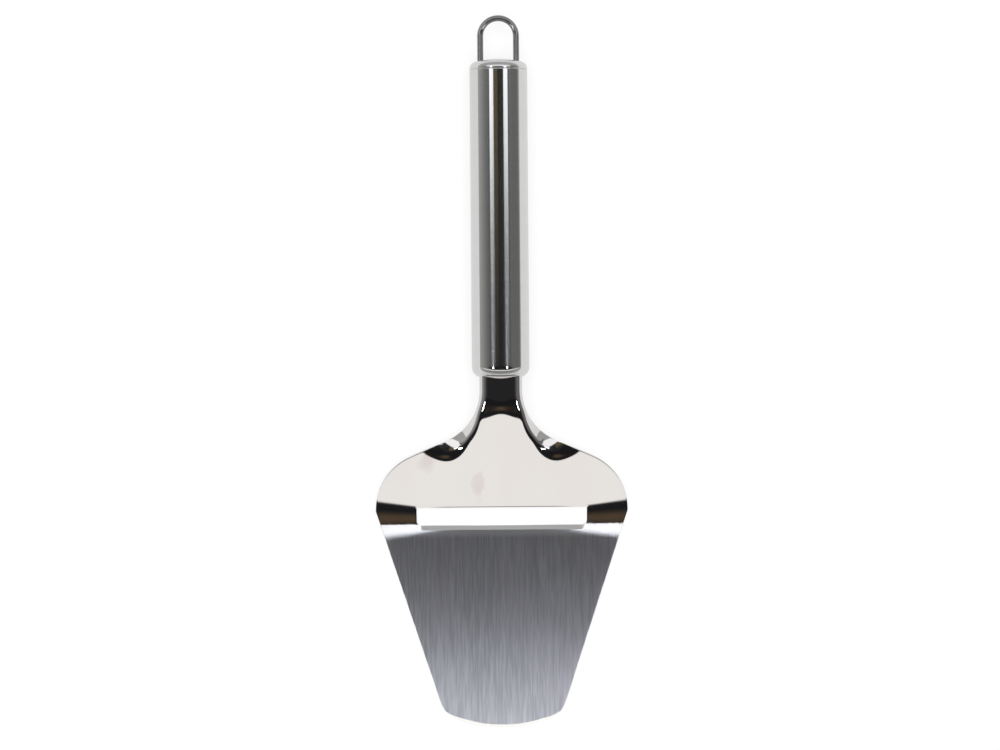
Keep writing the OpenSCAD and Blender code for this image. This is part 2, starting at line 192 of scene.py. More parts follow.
def ramp(d, half):
    """A ramp that starts with a smooth bend of the given half length."""
    if d < -half:
        return 0.0
    if d > half:
        return d
    return (d + half) ** 2 / (4 * half)


def face_z(s, x):
    """Height of the sheet's top face before its edges are rolled."""
    bend = max(BEND_LEAST, BEND_HALF + BEND_CONE * (abs(x) - HALF_SLOT))
    neck_bend = NECK_BEND + NECK_BEND_EDGE * ease(abs(x) / HALF_NECK)
    crown = CAMBER * math.sin(math.pi * clamp(s / RISE_LINE))
    return SHEET + crown + RISE_SLOPE * (ramp(s - RISE_LINE, bend) - ramp(s - NECK_LINE, neck_bend))


def roll_shape(s):
    """Radius, angle and flange of the rolled edge at a station of the outline."""
    part = clamp((s - SHOULDER_TOP - FADE_START) / (NECK_LINE - SHOULDER_TOP - FADE_START))
    opening = max(0.0, 1 - 2 * part)
    radius = NECK_CORNER + (FADE_RADIUS - NECK_CORNER) * opening ** 2
    angle = math.pi / 2 * math.sin(math.pi / 2 * part) ** ROLL_POWER
    flange = (NECK_DEPTH - NECK_CORNER) * (1 - opening ** 3)
    return radius, angle, flange


# Step for finding slopes, in millimetres along and in shares of a strip across
TINY = 0.01


def outline_normal(s):
    """Direction across the outline, outwards, as shares of x and s."""
    slope = (half_width(s + TINY) - half_width(s - TINY)) / (2 * TINY)
    size = math.hypot(1, slope)
    return 1 / size, -slope / size


def slot_line(s):
    """Line between the blade's middle and its edges, which runs into the slot's ends."""
    straight = SLOT_HALF - SLOT_CORNER
    if s < BLADE_LEN:
        return half_width(s, rim_round(s)) * straight / half_width(BLADE_LEN, rim_round(BLADE_LEN))
    return straight + circle_x(SLOT_CORNER, max(0.0, BLADE_LEN + SLOT_CORNER - s))


def edge_strip(s):
    """Inner point, direction and breadth of the strip along the head's edge at a station of the outline."""
    across, along = outline_normal(s)
    turned = ease((s - SLOT_TOP) / (SHOULDER_TOP - SLOT_TOP))
    size = math.hypot(1 + turned * (across - 1), turned * along)
    direction = ((1 + turned * (across - 1)) / size, turned * along / size)
    straight = half_width(s) - SLOT_HALF
    neck_zone = NECK_CORNER + ROLL_LEAD
    zone = neck_zone + (EDGE_ZONE - neck_zone) * ease((FLARE_AT - s) / (FLARE_AT - SHOULDER_TOP))
    breadth = straight + turned * (zone - straight)
    return half_width(s) - direction[0] * breadth, s - direction[1] * breadth, direction, breadth


def bevel_share(s):
    """How much of the head's rim is ground to a bevel: all of it at the tip, none along the sides."""
    return 1 - ease((s - TIP_BEVEL_FADE) / (TIP_BEVEL_END - TIP_BEVEL_FADE))


def rim_round(s):
    """Breadth of the head's rim, which is a wide bevel on the tip and a fine rounding elsewhere."""
    return EDGE_ROUND + (TIP_BEVEL - EDGE_ROUND) * bevel_share(s)


def roll_at(s, breadth, part):
    """Offset and drop across the edge strip, at a part of the way along its section."""
    radius, angle, flange = roll_shape(s)
    lead = breadth - radius * math.sin(angle) - flange * math.cos(angle)
    d = part * (lead + radius * angle + flange - rim_round(s))
    if d < lead:
        return d, 0.0
    if d < lead + radius * angle:
        turn = (d - lead) / radius
        return lead + radius * math.sin(turn), radius * (1 - math.cos(turn))
    more = d - lead - radius * angle
    offset = lead + radius * math.sin(angle) + more * math.cos(angle)
    return offset, radius * (1 - math.cos(angle)) + more * math.sin(angle)


def face_point(s, u):
    """A point of the top face: u runs from -2 to 2, and from -1 to 1 it crosses the head's middle."""
    side = math.copysign(1, u)
    a = abs(u)
    drop = 0.0
    if s < SLOT_TOP:
        line = slot_line(s)
        x = a * line if a < 1 else line + (a - 1) * (half_width(s, rim_round(s)) - line)
        station = s
    else:
        inner_x, inner_s, direction, breadth = edge_strip(s)
        offset, drop = roll_at(s, breadth, max(0.0, a - 1))
        x = min(a, 1) * inner_x + direction[0] * offset
        station = inner_s + direction[1] * offset
    return Vector((side * x, station, face_z(station, x) - drop))


def face_normal(s, u):
    """Direction straight out of the top face."""
    along = face_point(min(s + TINY, TANG_END), u) - face_point(max(s - TINY, TIP_ROW), u)
    across = face_point(s, min(u + TINY, 2)) - face_point(s, max(u - TINY, -2))
    return across.cross(along).normalized()


def spread(start, end, count):
    """Values from start to end in equal steps, without the start."""
    return [start + (end - start) * i / count for i in range(1, count + 1)]


def eased(start, end, count):
    """Values from start to end, closer together near the start, without the start."""
    return [start + (end - start) * (1 - math.cos(math.pi / 2 * i / count)) for i in range(1, count + 1)]


# Rows of the head's mesh along its length
TIP_ROW = TIP_BEVEL + TIP_FLAT / 2
TIP_JOIN = TIP_CENTRE + (TIP_RADIUS - TIP_BEVEL) * math.sin(CORNER_START)
CORNER_END = CORNER_S - (TIP_CORNER - EDGE_ROUND) * math.sin(BLADE_TAPER)
BEND_LOW = RISE_LINE - BEND_MOST
BEND_HIGH = RISE_LINE + BEND_MOST


def head_stations():
    """Stations of the rows, closer together where the outline or the face bends."""
    rows = [TIP_ROW]
    rows += eased(TIP_ROW, TIP_JOIN, 16)
    rows += eased(TIP_JOIN, CORNER_END, 14)
    rows += spread(CORNER_END, BEND_LOW, 20)
    rows += spread(BEND_LOW, BLADE_LEN - BEVEL_LEN, 12)
    rows += spread(BLADE_LEN - BEVEL_LEN, BLADE_LEN, 1)
    rows += eased(BLADE_LEN, BLADE_LEN + SLOT_CORNER, 6)
    rows += spread(BLADE_LEN + SLOT_CORNER, WIDEST - SIDE_CORNER, 6)
    rows += spread(WIDEST - SIDE_CORNER, WIDEST, 6)
    rows += spread(WIDEST, SLOT_TOP, 3)
    rows += spread(SLOT_TOP, BEND_HIGH, 8)
    rows += spread(BEND_HIGH, SHOULDER_TOP, 32)
    rows += spread(SHOULDER_TOP, FLARE_AT, 64)
    rows += spread(FLARE_AT, HANDLE_AT, 6)
    rows += spread(HANDLE_AT, TANG_END, 6)
    return rows


MID_CELLS = 56
EDGE_CELLS = 30


def head_columns():
    """Places of the columns across the head: its left strip, its middle and its right strip."""
    left = [-2 + i / EDGE_CELLS for i in range(EDGE_CELLS)]
    middle = [-1 + 2 * i / MID_CELLS for i in range(MID_CELLS + 1)]
    right = [1 + (i + 1) / EDGE_CELLS for i in range(EDGE_CELLS)]
    return left + middle + right


def frame_y(s):
    """Place of a station in the part's own frame, in metres."""
    return (s - LENGTH / 2) * MM


def to_frame(p):
    """From millimetres and stations to the part's own frame in metres."""
    return Vector((p.x * MM, frame_y(p.y), p.z * MM))


def make_piece(name, points, faces, material, node, uvs):
    """A smooth mesh that stands for a CAD node, with one UV pair for each point."""
    mesh = bpy.data.meshes.new(name)
    mesh.from_pydata([to_frame(p) for p in points], [], faces)
    mesh.validate()
    layer = mesh.uv_layers.new(name="grain")
    for loop in mesh.loops:
        layer.data[loop.index].uv = uvs[loop.vertex_index]
    mesh.polygons.foreach_set("use_smooth", [True] * len(mesh.polygons))
    mesh.materials.append(material)
    piece = bpy.data.objects.new(name, mesh)
    bpy.context.scene.collection.objects.link(piece)
    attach(piece, ROOT)
    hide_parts(node)
    return piece


RIM_STEPS = 5
SHARP_EDGE = math.radians(12)
# The rim keeps a bevel's flat section until the bevel has faded to one part in this many.
BEVEL_KEPT = 8


def rim_profile(part, bevel, slope):
    """How far out of a face and over its edge a rim's point lies, as shares of the rim's breadth."""
    turn = math.pi / 2 * part
    out = (1 - bevel) * math.sin(turn) + bevel * part
    over = (1 - bevel) * (1 - math.cos(turn)) + bevel * slope * part
    return out, over


def add_rim(points, faces, tops, bottoms, normals, rounds, bevels):
    """Rounded or bevelled rim along a closed loop of points, with the steel on the loop's left."""
    count = len(tops)
    rings = [tops]
    outward = []
    for k in range(count):
        along = points[tops[(k + 1) % count]] - points[tops[k - 1]]
        outward.append(along.cross(normals[k]).normalized())
    parts = [i / RIM_STEPS for i in range(1, RIM_STEPS + 1)]
    halves = ((tops, -1, TIP_BEVEL_SLOPE, parts), (bottoms, 1, 0.0, parts[::-1]))
    for base, sign, slope, steps in halves:
        for part in steps:
            ring = []
            for k in range(count):
                out, over = rim_profile(part, bevels[k], slope)
                ring.append(len(points))
                offset = outward[k] * out + normals[k] * (sign * over)
                points.append(points[base[k]] + offset * rounds[k])
            rings.append(ring)
    rings.append(bottoms)
    for a, b in zip(rings, rings[1:]):
        for k in range(count):
            n = (k + 1) % count
            faces.append((a[n], a[k], b[k], b[n]))


def make_head(material):
    """The pressed sheet: its top face, its underside, and the rims along the outline and the slot."""
    stations = head_stations()
    columns = head_columns()
    rows = len(stations)
    cols = len(columns)
    lip_row = stations.index(BLADE_LEN)
    top_row = stations.index(SLOT_TOP)
    slot_left = EDGE_CELLS
    slot_right = EDGE_CELLS + MID_CELLS
    points = []
    normals = []
    for s in stations:
        for u in columns:
            points.append(face_point(s, u))
            normals.append(face_normal(s, u))
    under = rows * cols
    for k in range(under):
        points.append(points[k] - normals[k] * SHEET)
    for j in range(slot_left, slot_right + 1):
        k = lip_row * cols + j
        points[k] = points[under + k] + normals[k] * EDGE_LAND
    faces = []
    for i in range(rows - 1):
        for j in range(cols - 1):
            if lip_row <= i < top_row and slot_left <= j < slot_right:
                continue
            a = i * cols + j
            b = a + cols
            faces.append((a, a + 1, b + 1, b))
            faces.append((under + a, under + b, under + b + 1, under + a + 1))
    outline = list(range(cols - 1))
    outline += [i * cols + cols - 1 for i in range(rows - 1)]
    outline += [(rows - 1) * cols + j for j in range(cols - 1, 0, -1)]
    outline += [i * cols for i in range(rows - 1, 0, -1)]
    lip = [lip_row * cols + j for j in range(slot_right, slot_left, -1)]
    left_end = [i * cols + slot_left for i in range(lip_row, top_row)]
    top = [top_row * cols + j for j in range(slot_left, slot_right)]
    right_end = [i * cols + slot_right for i in range(top_row, lip_row, -1)]
    slot = lip + left_end + top + right_end
    lip_points = set(lip + [lip_row * cols + slot_left])
    outline_rounds = [rim_round(stations[k // cols]) for k in outline]
    slot_rounds = [LIP_ROUND if k in lip_points else SLOT_ROUND for k in slot]
    outline_bevels = [clamp(BEVEL_KEPT * bevel_share(stations[k // cols])) for k in outline]
    slot_bevels = [0.0] * len(slot)
    ground = [0.0] * len(points)
    rims = ((outline, outline_rounds, outline_bevels), (slot, slot_rounds, slot_bevels))
    for loop, rounds, bevels in rims:
        bottoms = [under + k for k in loop]
        add_rim(points, faces, loop, bottoms, [normals[k] for k in loop], rounds, bevels)
        ground += bevels * (2 * RIM_STEPS)
    uvs = [(p.x * MM, p.y * MM) for p in points]
    head = make_piece("head", points, faces, material, "slicer_head", uvs)
    head.data.set_sharp_from_angle(angle=SHARP_EDGE)
    head.data.attributes.new("ground", "FLOAT", "POINT").data.foreach_set("value", ground)
    return head


def domed_end(radius, edge, crown):
    """Flat radius, dome radius, dome centre and edge centre of a rounded, domed end."""
    flat = radius - edge
    dome = (flat * flat + crown * crown) / (2 * crown)
    return flat, dome, dome - crown, dome - crown - math.sqrt((dome - edge) ** 2 - flat * flat)


def domed_arc(end, edge, inset, dome_steps=12, edge_steps=24):
    """Radius and depth along a domed end's skin, from its middle to its side."""
    flat, dome, dome_at, edge_at = end
    join = math.atan2(edge_at - dome_at, flat)
    arc = []
    for i in range(dome_steps):
        a = -math.pi / 2 + (math.pi / 2 + join) * i / dome_steps
        arc.append(((dome - inset) * math.cos(a), dome_at + (dome - inset) * math.sin(a)))
    for i in range(edge_steps + 1):
        a = join * (1 - i / edge_steps)
        arc.append((flat + (edge - inset) * math.cos(a), edge_at + (edge - inset) * math.sin(a)))
    arc[0] = (0.0, arc[0][1])
    return arc


ROUND_STEPS = 256


def lathe(profile, start, direction):
    """Points, faces and UVs of a profile of radius and depth, turned around the handle's axis."""
    points = []
    uvs = []
    rings = []
    for radius, depth in profile:
        s = start + direction * depth
        steps = 1 if radius == 0 else ROUND_STEPS
        rings.append(range(len(points), len(points) + steps))
        for k in range(steps):
            a = 2 * math.pi * k / ROUND_STEPS
            points.append(Vector((radius * math.sin(a), s, AXIS_Z + radius * math.cos(a))))
            uvs.append((s * MM, k / ROUND_STEPS))
    faces = []
    for a, b in zip(rings, rings[1:]):
        for k in range(ROUND_STEPS):
            n = (k + 1) % ROUND_STEPS
            corners = [a[k % len(a)], a[n % len(a)], b[n % len(b)], b[k % len(b)]]
            face = list(dict.fromkeys(corners))
            faces.append(face if direction > 0 else face[::-1])
    return points, faces, uvs


FRONT_END = domed_end(HANDLE_RADIUS, FRONT_EDGE, FRONT_CROWN)
CAP_END = domed_end(HANDLE_RADIUS, CAP_EDGE, CAP_CROWN)
CAP_HEIGHT = CAP_END[3] + CAP_BAND
CAP_RIM = SEAM_AT + CAP_HEIGHT
CAP_FLOOR = CAP_FACE - CAP_CROWN
PLUG_RADIUS = HANDLE_RADIUS - HANDLE_WALL - PLUG_CLEARANCE
LEG_X = HANDLE_RADIUS - LEG_INSET


def rounded_corner(radius, depth, size, steps=5):
    """A small quarter round that ends a side at the given depth."""
    corner = []
    for i in range(steps + 1):
        a = math.pi / 2 * i / steps
        corner.append((radius - size + size * math.cos(a), depth - size + size * math.sin(a)))
    return corner


BODY_STEPS = 60
SEAM_STEPS = 4
CAP_STEPS = 2


def make_handle(material):
    """The hollow grip: a tube with a domed front end and a rounded edge at the seam."""
    outside = domed_arc(FRONT_END, FRONT_EDGE, 0)
    side_end = HANDLE_LEN - SEAM_CHAMFER
    body_end = side_end - SEAM_CHAMFER
    depths = spread(outside[-1][1], body_end, BODY_STEPS) + spread(body_end, side_end, SEAM_STEPS)
    side = [(HANDLE_RADIUS, d) for d in depths]
    seam = rounded_corner(HANDLE_RADIUS, HANDLE_LEN, SEAM_CHAMFER)[1:]
    inside = domed_arc(FRONT_END, FRONT_EDGE, HANDLE_WALL)[::-1]
    bore = [(HANDLE_RADIUS - HANDLE_WALL, HANDLE_LEN)]
    profile = outside + side + seam + bore + inside
    points, faces, uvs = lathe(profile, HANDLE_AT, 1)
    return make_piece("handle", points, faces, material, "handle_shell", uvs)


def make_cap(material):
    """The domed cap with the hollow plug that seats it in the grip."""
    plug_end = CAP_HEIGHT + PLUG_LEN
    outside = domed_arc(CAP_END, CAP_EDGE, 0)
    depths = spread(outside[-1][1], CAP_HEIGHT - SEAM_CHAMFER, CAP_STEPS)
    side = [(HANDLE_RADIUS, d) for d in depths]
    seam = rounded_corner(HANDLE_RADIUS, CAP_HEIGHT, SEAM_CHAMFER)[1:]
    plug = [(PLUG_RADIUS, CAP_HEIGHT), (PLUG_RADIUS, plug_end), (PLUG_RADIUS - CAP_WALL, plug_end)]
    inside = [(PLUG_RADIUS - CAP_WALL, CAP_FLOOR), (0.0, CAP_FLOOR)]
    points, faces, uvs = lathe(outside + side + seam + plug + inside, CAP_RIM, -1)
    return make_piece("cap", points, faces, material, "end_cap", uvs)


LOOP_STEPS = 72
LEG_STEPS = 12
WIRE_STEPS = 32


def make_loop(material):
    """The bent wire: two straight legs and a half circle, swept with a round section."""
    centre = LENGTH - LEG_X - WIRE_RADIUS
    leg_end = CAP_RIM - CAP_FLOOR - LEG_TAIL
    path = []
    for s in [leg_end] + spread(leg_end, centre, LEG_STEPS):
        path.append((Vector((LEG_X, s, AXIS_Z)), Vector((1, 0, 0))))
    for i in range(1, LOOP_STEPS + 1):
        a = math.pi * i / LOOP_STEPS
        out = Vector((math.cos(a), math.sin(a), 0))
        path.append((Vector((0, centre, AXIS_Z)) + out * LEG_X, out))
    for s in spread(centre, leg_end, LEG_STEPS):
        path.append((Vector((-LEG_X, s, AXIS_Z)), Vector((-1, 0, 0))))
    points = []
    uvs = []
    faces = []
    walked = 0.0
    for i, (middle, out) in enumerate(path):
        if i:
            walked += (middle - path[i - 1][0]).length
        for k in range(WIRE_STEPS):
            a = 2 * math.pi * k / WIRE_STEPS
            points.append(middle + WIRE_RADIUS * (math.cos(a) * out + math.sin(a) * Vector((0, 0, 1))))
            uvs.append((k / WIRE_STEPS, walked * MM))
    for i in range(len(path) - 1):
        for k in range(WIRE_STEPS):
            n = (k + 1) % WIRE_STEPS
            a = i * WIRE_STEPS
            b = a + WIRE_STEPS
            faces.append((a + k, b + k, b + n, a + n))
    last = (len(path) - 1) * WIRE_STEPS
    faces.append(tuple(range(WIRE_STEPS)))
    faces.append(tuple(last + k for k in reversed(range(WIRE_STEPS))))
    return make_piece("loop", points, faces, material, "hanging_loop", uvs)


class Nodes:
    """Short calls for building one node tree."""

    def __init__(self, tree):
        self.tree = tree
        tree.nodes.clear()

    def add(self, kind, inputs=None, **settings):
        node = self.tree.nodes.new(kind)
        for key, value in settings.items():
            setattr(node, key, value)
        for key, value in (inputs or {}).items():
            self.put(node.inputs[key], value)
        return node

    def put(self, socket, value):
        if isinstance(value, bpy.types.NodeSocket):
            self.tree.links.new(value, socket)
        else:
            socket.default_value = value

    def maths(self, operation, a, b=0.0, c=0.0):
        return self.add("ShaderNodeMath", {0: a, 1: b, 2: c}, operation=operation).outputs[0]

    def smooth(self, value, low, high, out_low=0.0, out_high=1.0):
        """A soft step of the value between two limits."""
        inputs = {"Value": value, "From Min": low, "From Max": high, "To Min": out_low, "To Max": out_high}
        node = self.add("ShaderNodeMapRange", inputs, interpolation_type="SMOOTHSTEP")
        return node.outputs["Result"]

    def noise(self, vector, scale, detail=2.0, roughness=0.5):
        inputs = {"Vector": vector, "Scale": scale, "Detail": detail, "Roughness": roughness}
        return self.add("ShaderNodeTexNoise", inputs).outputs["Fac"]

    def stretched(self, vector, scale, shift=(0, 0, 0)):
        inputs = {"Vector": vector, "Scale": scale, "Location": shift}
        return self.add("ShaderNodeMapping", inputs).outputs["Vector"]

    def mix(self, factor, a, b):
        node = self.add("ShaderNodeMix", data_type="RGBA")
        colours = [s for s in node.inputs if s.type == "RGBA"]
        self.put(node.inputs["Factor"], factor)
        self.put(colours[0], a)
        self.put(colours[1], b)
        return [s for s in node.outputs if s.type == "RGBA"][0]

    def weighted(self, a, share, b):
        """A number made of a share of a, with b for the rest."""
        return self.maths("MULTIPLY_ADD", a, share, self.maths("MULTIPLY", b, 1 - share))

    def blend(self, factor, a, b):
        """A number between a and b."""
        inputs = {"Value": factor, "To Min": a, "To Max": b}
        return self.add("ShaderNodeMapRange", inputs).outputs["Result"]

    def bump(self, shader, strength, depth, height):
        """Gives a shader a fine relief."""
        inputs = {"Strength": strength, "Distance": depth, "Height": height}
        relief = self.add("ShaderNodeBump", inputs)
        self.put(shader.inputs["Normal"], relief.outputs["Normal"])


def steel_material(name, anisotropic):
    """A metal material with its tree helper, shader and grain tangent, ready for colour and roughness."""
    material = bpy.data.materials.new(name)
    material.use_nodes = True
    nodes = Nodes(material.node_tree)
    tangent = nodes.add("ShaderNodeTangent", direction_type="UV_MAP", uv_map="grain")
    shader = nodes.add("ShaderNodeBsdfPrincipled", {"Metallic": 1.0, "Anisotropic": anisotropic})
    nodes.put(shader.inputs["Tangent"], tangent.outputs["Tangent"])
    output = nodes.add("ShaderNodeOutputMaterial")
    nodes.put(output.inputs["Surface"], shader.outputs["BSDF"])
    return material, nodes, shader


# Stations where the brushing ends and where the painted highlight on the bend starts, and how softly
BRUSHED_END = 67.9
BRUSHED_SOFT = 1.0
BRUSHED_RAGGED = 1.2
BEND_HIGHLIGHT_START = 62.5
BEND_HIGHLIGHT_SOFT = 2.5

# Marks on the head: how often each kind repeats in a metre across, along and up
LINE_MARKS = (2500, 80, 80)
FINE_MARKS = (2600, 110, 110)
COARSE_MARKS = (1100, 45, 45)
HAZE_MARKS = (60, 25, 25)
SMUDGE_MARKS = (260, 210, 210)
# The upward shifts keep the blade off the planes of the noise's grid, on which its contrast fades.
FINE_SHIFT = (0, 0.35, 0.5)
COARSE_SHIFT = (0, 0.1, 0.5)
# Share of the fine marks, roughness of the noise, and the limits that set the contrast
FINE_SHARE = 0.6
BRUSHED_NOISE = 0.6
STREAK_LIMITS = (0.33, 0.67)
HAZE_LIMITS = (0.35, 0.65)
HAZE_SHARE = 0.25
BRUSHED_BUMP = 0.06
BRUSHED_BUMP_DEPTH = 0.02 * MM

# Least and most roughness, and the colours, of the head's steel
BRUSHED_ROUGH = (0.277, 0.285)
POLISHED_ROUGH = (0.05, 0.09)
BRUSHED_DARK = (0.575, 0.575, 0.572, 1)
BRUSHED_LIGHT = (0.775, 0.772, 0.765, 1)
BRUSHED_HAZE = (0.7, 0.66, 0.68, 1)
# Near-white: the ground bevels' own bright colour, and a painted highlight on the bend and its lip bevel
GROUND_BEVEL_AND_BEND_HIGHLIGHT = (0.97, 0.97, 0.96, 1)
POLISHED_CLEAR = (0.8, 0.785, 0.765, 1)
POLISHED_HAZE = (0.79, 0.765, 0.75, 1)
SMUDGED = (0.66, 0.59, 0.57, 1)

# Finger marks on the polished shoulder: middle across and along the head, half width and half length
SMUDGES = ((-24.5, 89.0, 4.0, 5.5), (-7.5, 80.5, 3.0, 6.5))
SMUDGE_WANDER = 1.6
SMUDGE_LIMITS = (1.0, 1.8)
SMUDGE_WEIGHTS = (0.2, 0.9)


def smudges(nodes, place):
    """Faint finger marks with ragged edges."""
    ragged = nodes.noise(nodes.stretched(place, SMUDGE_MARKS), 1.0, 3.0)
    total = 0.0
    for x, s, half_wide, half_long in SMUDGES:
        middle = (-x / half_wide, -(s - LENGTH / 2) / half_long, 0)
        scale = (1 / (half_wide * MM), 1 / (half_long * MM), 0)
        local = nodes.stretched(place, scale, middle)
        away = nodes.add("ShaderNodeVectorMath", {0: local}, operation="LENGTH").outputs["Value"]
        reach = nodes.maths("MULTIPLY_ADD", ragged, SMUDGE_WANDER, away)
        mark = nodes.smooth(reach, *SMUDGE_LIMITS, 1.0, 0.0)
        total = nodes.maths("MAXIMUM", mark, total)
    return nodes.maths("MULTIPLY", total, nodes.blend(ragged, *SMUDGE_WEIGHTS))


def brushing(nodes, place):
    """Fine and coarse streaks along the blade, as a number from 0 to 1."""
    fine = nodes.noise(nodes.stretched(place, FINE_MARKS, FINE_SHIFT), 1.0, 1.0, BRUSHED_NOISE)
    coarse = nodes.noise(nodes.stretched(place, COARSE_MARKS, COARSE_SHIFT), 1.0, 1.0, BRUSHED_NOISE)
    return nodes.smooth(nodes.weighted(fine, FINE_SHARE, coarse), *STREAK_LIMITS)


def head_material():
    """Steel that is mirror-polished on the shoulder and neck, and brushed lengthwise on the blade."""
    material, nodes, shader = steel_material("head_steel", 1.0)
    place = nodes.add("ShaderNodeTexCoord").outputs["Object"]
    y = nodes.add("ShaderNodeSeparateXYZ", {0: place}).outputs["Y"]
    ragged = nodes.noise(nodes.stretched(place, LINE_MARKS), 1.0, 1.0)
    line = nodes.maths("MULTIPLY_ADD", ragged, BRUSHED_RAGGED * MM, y)
    polished = nodes.smooth(line, frame_y(BRUSHED_END), frame_y(BRUSHED_END + BRUSHED_SOFT))
    brushed = nodes.maths("SUBTRACT", 1.0, polished)
    streak = brushing(nodes, place)
    haze = nodes.smooth(nodes.noise(nodes.stretched(place, HAZE_MARKS), 1.0, 2.0), *HAZE_LIMITS)
    smudge = smudges(nodes, place)
    ground = nodes.add("ShaderNodeAttribute", attribute_name="ground").outputs["Fac"]
    # The bevel that is ground on the tip is as smooth as the polished shoulder.
    smooth = nodes.maths("MAXIMUM", polished, ground)
    rough = nodes.add("ShaderNodeMix", {"Factor": smooth}, data_type="FLOAT")
    nodes.put(rough.inputs[2], nodes.blend(streak, *BRUSHED_ROUGH))
    nodes.put(rough.inputs[3], nodes.blend(smudge, *POLISHED_ROUGH))
    nodes.put(shader.inputs["Roughness"], rough.outputs[0])
    nodes.put(shader.inputs["Anisotropic"], nodes.maths("SUBTRACT", 1.0, smooth))
    brushed_colour = nodes.mix(streak, BRUSHED_DARK, BRUSHED_LIGHT)
    brushed_colour = nodes.mix(nodes.maths("MULTIPLY", haze, HAZE_SHARE), brushed_colour, BRUSHED_HAZE)
    # Painted highlight: the bend by the slot is coloured near-white in place of the lamps' reflection, and
    # the ground bevels take the same colour
    bend = nodes.smooth(y, frame_y(BEND_HIGHLIGHT_START), frame_y(BEND_HIGHLIGHT_START + BEND_HIGHLIGHT_SOFT))
    brushed_colour = nodes.mix(nodes.maths("MAXIMUM", ground, bend), brushed_colour, GROUND_BEVEL_AND_BEND_HIGHLIGHT)
    polished_colour = nodes.mix(haze, POLISHED_CLEAR, POLISHED_HAZE)
    polished_colour = nodes.mix(smudge, polished_colour, SMUDGED)
    nodes.put(shader.inputs["Base Color"], nodes.mix(polished, brushed_colour, polished_colour))
    nodes.bump(shader, BRUSHED_BUMP, BRUSHED_BUMP_DEPTH, nodes.maths("MULTIPLY", streak, brushed))
    return material


# How often fine marks and broad bands repeat: on the grip and the cap by the metre along and by the turn
# around, on the wire by the turn around and by the metre along
RINGED = ((5200, 14, 1), (320, 3, 1))
DRAWN = ((70, 60, 1), (12, 160, 1))
FINE_MARK_SHARE = 0.7
MARKED_NOISE = 0.65
MARKED_ANISOTROPY = 0.85
MARKED_BUMP = 0.12
MARKED_BUMP_DEPTH = 0.01 * MM
SPECKS = 1500.0
SPECK_LIMITS = (0.66, 0.74)
SPECK_SHARE = 0.25
# Least and most roughness and colour of the grip, the cap and the wire
HANDLE_ROUGH = (0.075, 0.105)
CAP_ROUGH = (0.1, 0.2)
WIRE_ROUGH = (0.16, 0.24)
GRIP_COLOURS = ((0.7, 0.7, 0.69, 1), (0.82, 0.82, 0.81, 1))
WIRE_COLOURS = ((0.3, 0.3, 0.3, 1), (0.42, 0.42, 0.42, 1))


def marked_steel(name, marks, bands, rough, colours):
    """Steel with fine marks and broad bands, which run around the handle and along the wire, and specks."""
    material, nodes, shader = steel_material(name, MARKED_ANISOTROPY)
    low, high = colours
    grain = nodes.add("ShaderNodeUVMap", uv_map="grain").outputs["UV"]
    place = nodes.add("ShaderNodeTexCoord").outputs["Object"]
    fine = nodes.noise(nodes.stretched(grain, marks), 1.0, 3.0, MARKED_NOISE)
    broad = nodes.noise(nodes.stretched(grain, bands), 1.0, 2.0)
    specks = nodes.smooth(nodes.noise(place, SPECKS, 2.0), *SPECK_LIMITS)
    mark = nodes.weighted(fine, FINE_MARK_SHARE, broad)
    nodes.put(shader.inputs["Roughness"], nodes.blend(mark, *rough))
    speck_share = nodes.maths("MULTIPLY", specks, SPECK_SHARE)
    nodes.put(shader.inputs["Base Color"], nodes.mix(speck_share, nodes.mix(mark, low, high), high))
    nodes.bump(shader, MARKED_BUMP, MARKED_BUMP_DEPTH, mark)
    return material


# Repeats of the weld's ridges and heat colours in a metre, its colours, roughness and relief
WELD_RIDGES = 2600.0
WELD_HEAT = 900.0
WELD_COLOURS = ((0.36, 0.33, 0.3, 1), (0.52, 0.5, 0.5, 1))
WELD_ROUGH = (0.35, 0.6)
WELD_BUMP = 0.5
WELD_BUMP_DEPTH = 0.05 * MM


def weld_material():
    """Bare weld: dull, ridged steel with heat colours."""
    material, nodes, shader = steel_material("weld_steel", 0.0)
    place = nodes.add("ShaderNodeTexCoord").outputs["Object"]
    ridges = nodes.noise(place, WELD_RIDGES, 3.0)
    heat = nodes.noise(place, WELD_HEAT, 1.0)
    nodes.put(shader.inputs["Base Color"], nodes.mix(heat, *WELD_COLOURS))
    nodes.put(shader.inputs["Roughness"], nodes.blend(ridges, *WELD_ROUGH))
    nodes.bump(shader, WELD_BUMP, WELD_BUMP_DEPTH, ridges)
    return material


FLOOR_RADIUS = 6.0
FLOOR_STEPS = 64
FLOOR_DROP = 0.05 * MM
FLOOR_WHITE = (0.9, 0.9, 0.9, 1)
FLOOR_GLOW = 0.75
MIRRORED_FLOOR = 0.72


